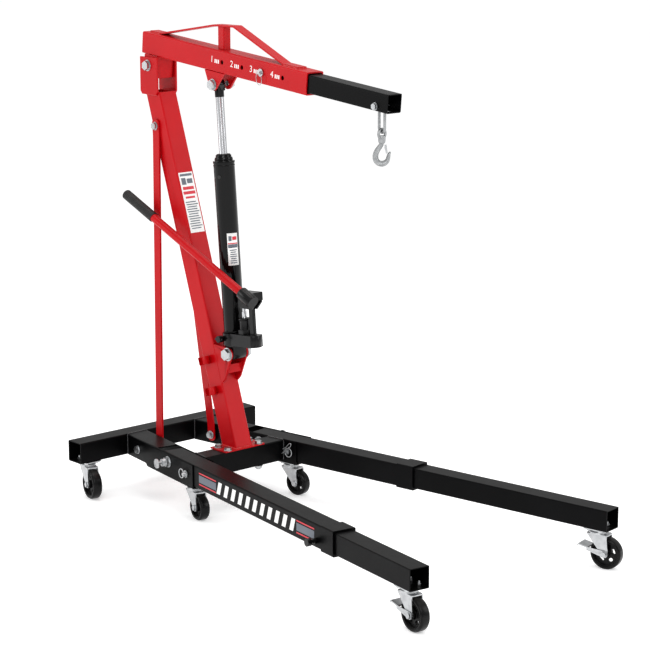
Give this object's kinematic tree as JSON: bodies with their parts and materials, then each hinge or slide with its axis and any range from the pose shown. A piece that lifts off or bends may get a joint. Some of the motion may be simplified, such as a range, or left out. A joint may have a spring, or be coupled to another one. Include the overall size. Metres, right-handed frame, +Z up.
{
  "type": "folding shop crane",
  "caption": "Folding hydraulic shop crane: splayed telescoping legs on swivel casters, raked mast with flat braces, pinned telescoping boom with a swivel hook, hand-pumped ram.",
  "frame": {"origin": "on the floor, at the middle of the overall length and on the mid-plane between the two legs", "axes": "+X forward along the legs, towards the hook; +Y to the crane's left; +Z up"},
  "size_m": [1.5916, 0.7804, 1.4122],
  "materials": {
    "frame_black": "semi-gloss black paint",
    "lift_red": "gloss red paint",
    "ram_black": "gloss black enamel",
    "zinc": "bright zinc plate",
    "rod_chrome": "polished hard chrome",
    "wheel_black": "moulded black plastic wheel with a hard rubber tread",
    "grip_rubber": "moulded black rubber",
    "hook_steel": "forged steel, galvanised"
  },
  "bodies": {
    "frame": {"rear_crossmember": "frame_black", "leg_bracket_right": "frame_black", "leg_bracket_left": "frame_black", "mast_cross_tube": "frame_black", "mast": "lift_red", "mast_base_plate": "lift_red", "mast_base_bolts": "zinc", "mast_head_plates": "lift_red", "mast_braces": "lift_red", "frame_bolts": "zinc", "ram_bracket": "lift_red", "handle_clips": "lift_red", "caster_plates": "zinc"},
    "boom": {"boom_tube": "lift_red", "boom_pivot_lug": "lift_red", "truss_strap": "lift_red", "truss_post": "lift_red", "ram_lugs": "lift_red", "ram_top_bolts": "zinc"},
    "boom_extension": {"boom_extension_tube": "frame_black", "hook_bolt": "zinc"},
    "boom_pin": {"boom_pin": "zinc"},
    "hook_link": {"hook_link": "hook_steel"},
    "hook_eye": {"hook_eye": "hook_steel"},
    "hook": {"hook": "hook_steel"},
    "hook_latch": {"hook_latch": "zinc"},
    "ram": {"ram_cylinder": "ram_black", "ram_base": "ram_black", "pump_body": "ram_black"},
    "release_valve": {"release_valve": "ram_black"},
    "ram_rod": {"ram_rod": "rod_chrome", "ram_rod_end": "ram_black"},
    "pump_piston": {"pump_piston": "rod_chrome"},
    "pump_handle": {"handle_socket": "ram_black", "pump_handle": "lift_red", "handle_grip": "grip_rubber"},
    "leg_right": {"leg_tube_right": "frame_black"},
    "leg_extension_right": {"leg_extension_right": "frame_black", "caster_plate_front_right": "zinc"},
    "lock_pin_right": {"lock_pin_right": "zinc"},
    "leg_plunger_right": {"leg_plunger_right": "zinc"},
    "leg_left": {"leg_tube_left": "frame_black"},
    "leg_extension_left": {"leg_extension_left": "frame_black", "caster_plate_front_left": "zinc"},
    "lock_pin_left": {"lock_pin_left": "zinc"},
    "leg_plunger_left": {"leg_plunger_left": "zinc"},
    "caster_fork_rear_right": {"caster_fork_rear_right": "zinc"},
    "caster_wheel_rear_right": {"caster_wheel_rear_right": "wheel_black"},
    "caster_fork_rear_left": {"caster_fork_rear_left": "zinc"},
    "caster_wheel_rear_left": {"caster_wheel_rear_left": "wheel_black"},
    "caster_fork_middle_right": {"caster_fork_middle_right": "zinc"},
    "caster_wheel_middle_right": {"caster_wheel_middle_right": "wheel_black"},
    "caster_fork_middle_left": {"caster_fork_middle_left": "zinc"},
    "caster_wheel_middle_left": {"caster_wheel_middle_left": "wheel_black"},
    "caster_fork_front_right": {"caster_fork_front_right": "zinc"},
    "caster_wheel_front_right": {"caster_wheel_front_right": "wheel_black"},
    "brake_pedal_front_right": {"brake_pedal_front_right": "zinc"},
    "caster_fork_front_left": {"caster_fork_front_left": "zinc"},
    "caster_wheel_front_left": {"caster_wheel_front_left": "wheel_black"},
    "brake_pedal_front_left": {"brake_pedal_front_left": "zinc"}
  },
  "joints": [
    {"name": "boom_lift", "type": "hinge", "parent": "frame", "child": "boom", "pos_m": [-0.73713, 0, 1.275], "axis": [0, -1, 0], "range_deg": [-20, 30]},
    {"name": "boom_extend", "type": "slide", "parent": "boom", "child": "boom_extension", "axis": [0.9959, 0, -0.0906], "range_m": [-0.175, 0.091]},
    {"name": "boom_pin_pull", "type": "slide", "parent": "boom", "child": "boom_pin", "axis": [0, -1, 0], "range_m": [0, 0.09]},
    {"name": "hook_link_swing", "type": "hinge", "parent": "boom_extension", "child": "hook_link", "pos_m": [0.23851, 0, 1.23665], "axis": [0, -1, 0], "range_deg": [-38, 38]},
    {"name": "hook_eye_swing", "type": "hinge", "parent": "hook_link", "child": "hook_eye", "pos_m": [0.23851, 0, 1.16615], "axis": [1, 0, 0], "range_deg": [-25, 25]},
    {"name": "hook_swivel", "type": "hinge", "parent": "hook_eye", "child": "hook", "pos_m": [0.23851, 0, 1.14195], "axis": [0, 0, 1], "continuous": true},
    {"name": "hook_latch_open", "type": "hinge", "parent": "hook", "child": "hook_latch", "pos_m": [0.24527, 0.00653, 1.12945], "axis": [0.6947, -0.7193, 0], "range_deg": [-28, 0], "stiffness_Nm_per_rad": 0.02},
    {"name": "ram_tilt", "type": "hinge", "parent": "frame", "child": "ram", "pos_m": [-0.38114, 0, 0.457], "axis": [0, -1, 0], "range_deg": [-1.21, 0.82]},
    {"name": "ram_rod_slide", "type": "slide", "parent": "ram", "child": "ram_rod", "axis": [-0.0851, 0, 0.9964], "range_m": [-0.1015, 0.1518]},
    {"name": "release_valve_turn", "type": "hinge", "parent": "ram", "child": "release_valve", "pos_m": [-0.40099, -0.0385, 0.50147], "axis": [0, -1, 0], "range_deg": [-90, 90]},
    {"name": "handle_stroke", "type": "hinge", "parent": "ram", "child": "pump_handle", "pos_m": [-0.29826, -0.008, 0.61463], "axis": [0, 1, 0], "range_deg": [-5, 22]},
    {"name": "pump_piston_slide", "type": "slide", "parent": "ram", "child": "pump_piston", "axis": [-0.0851, 0, 0.9964], "range_m": [-0.0033, 0.0142]},
    {"name": "leg_fold_right", "type": "hinge", "parent": "frame", "child": "leg_right", "pos_m": [-0.44289, -0.16933, 0.15], "axis": [-0.1564, -0.9877, 0], "range_deg": [0, 90]},
    {"name": "leg_extend_right", "type": "slide", "parent": "leg_right", "child": "leg_extension_right", "axis": [0.9877, -0.1564, 0], "range_m": [-0.23, 0.12]},
    {"name": "lock_pin_pull_right", "type": "slide", "parent": "frame", "child": "lock_pin_right", "axis": [-0.1564, -0.9877, 0], "range_m": [0, 0.09]},
    {"name": "leg_plunger_pull_right", "type": "slide", "parent": "leg_right", "child": "leg_plunger_right", "axis": [-0.1564, -0.9877, 0], "range_m": [0, 0.008], "stiffness_N_per_m": 400},
    {"name": "leg_fold_left", "type": "hinge", "parent": "frame", "child": "leg_left", "pos_m": [-0.44289, 0.16933, 0.15], "axis": [0.1564, -0.9877, 0], "range_deg": [0, 90]},
    {"name": "leg_extend_left", "type": "slide", "parent": "leg_left", "child": "leg_extension_left", "axis": [0.9877, 0.1564, 0], "range_m": [-0.3, 0.04]},
    {"name": "lock_pin_pull_left", "type": "slide", "parent": "frame", "child": "lock_pin_left", "axis": [0.1564, -0.9877, 0], "range_m": [0, 0.09]},
    {"name": "leg_plunger_pull_left", "type": "slide", "parent": "leg_left", "child": "leg_plunger_left", "axis": [-0.1564, 0.9877, 0], "range_m": [0, 0.008], "stiffness_N_per_m": 400},
    {"name": "caster_swivel_rear_right", "type": "hinge", "parent": "frame", "child": "caster_fork_rear_right", "pos_m": [-0.72913, -0.292, 0.1], "axis": [0, 0, 1], "continuous": true},
    {"name": "caster_roll_rear_right", "type": "hinge", "parent": "caster_fork_rear_right", "child": "caster_wheel_rear_right", "pos_m": [-0.70175, -0.29782, 0.0445], "axis": [0.2079, 0.9781, 0], "continuous": true},
    {"name": "caster_swivel_rear_left", "type": "hinge", "parent": "frame", "child": "caster_fork_rear_left", "pos_m": [-0.72913, 0.292, 0.1], "axis": [0, 0, 1], "continuous": true},
    {"name": "caster_roll_rear_left", "type": "hinge", "parent": "caster_fork_rear_left", "child": "caster_wheel_rear_left", "pos_m": [-0.7012, 0.29005, 0.0445], "axis": [0.0698, 0.9976, 0], "continuous": true},
    {"name": "caster_swivel_middle_right", "type": "hinge", "parent": "frame", "child": "caster_fork_middle_right", "pos_m": [-0.34906, -0.18419, 0.1], "axis": [0, 0, 1], "continuous": true},
    {"name": "caster_roll_middle_right", "type": "hinge", "parent": "caster_fork_middle_right", "child": "caster_wheel_middle_right", "pos_m": [-0.32149, -0.18906, 0.038], "axis": [0.1736, 0.9848, 0], "continuous": true},
    {"name": "caster_swivel_middle_left", "type": "hinge", "parent": "frame", "child": "caster_fork_middle_left", "pos_m": [-0.34906, 0.18419, 0.1], "axis": [0, 0, 1], "continuous": true},
    {"name": "caster_roll_middle_left", "type": "hinge", "parent": "caster_fork_middle_left", "child": "caster_wheel_middle_left", "pos_m": [-0.32133, 0.18809, 0.038], "axis": [-0.1392, 0.9903, 0], "continuous": true},
    {"name": "caster_swivel_front_right", "type": "hinge", "parent": "leg_extension_right", "child": "caster_fork_front_right", "pos_m": [0.72258, -0.35393, 0.1], "axis": [0, 0, 1], "continuous": true},
    {"name": "caster_roll_front_right", "type": "hinge", "parent": "caster_fork_front_right", "child": "caster_wheel_front_right", "pos_m": [0.75037, -0.35734, 0.0445], "axis": [0.1219, 0.9925, 0], "continuous": true},
    {"name": "brake_press_front_right", "type": "hinge", "parent": "caster_fork_front_right", "child": "brake_pedal_front_right", "pos_m": [0.75037, -0.35734, 0.0445], "axis": [0.1219, 0.9925, 0], "range_deg": [-12, 6]},
    {"name": "caster_swivel_front_left", "type": "hinge", "parent": "leg_extension_left", "child": "caster_fork_front_left", "pos_m": [0.72258, 0.35393, 0.1], "axis": [0, 0, 1], "continuous": true},
    {"name": "caster_roll_front_left", "type": "hinge", "parent": "caster_fork_front_left", "child": "caster_wheel_front_left", "pos_m": [0.7495, 0.36164, 0.0445], "axis": [-0.2756, 0.9613, 0], "continuous": true},
    {"name": "brake_press_front_left", "type": "hinge", "parent": "caster_fork_front_left", "child": "brake_pedal_front_left", "pos_m": [0.7495, 0.36164, 0.0445], "axis": [-0.2756, 0.9613, 0], "range_deg": [-12, 6]}
  ],
  "couplings": [
    {"joint": "ram_tilt", "follows": "boom_lift", "ratio": -0.0385},
    {"joint": "ram_rod_slide", "follows": "boom_lift", "m_per_rad": 0.288},
    {"joint": "pump_piston_slide", "follows": "handle_stroke", "m_per_rad": 0.036}
  ]
}
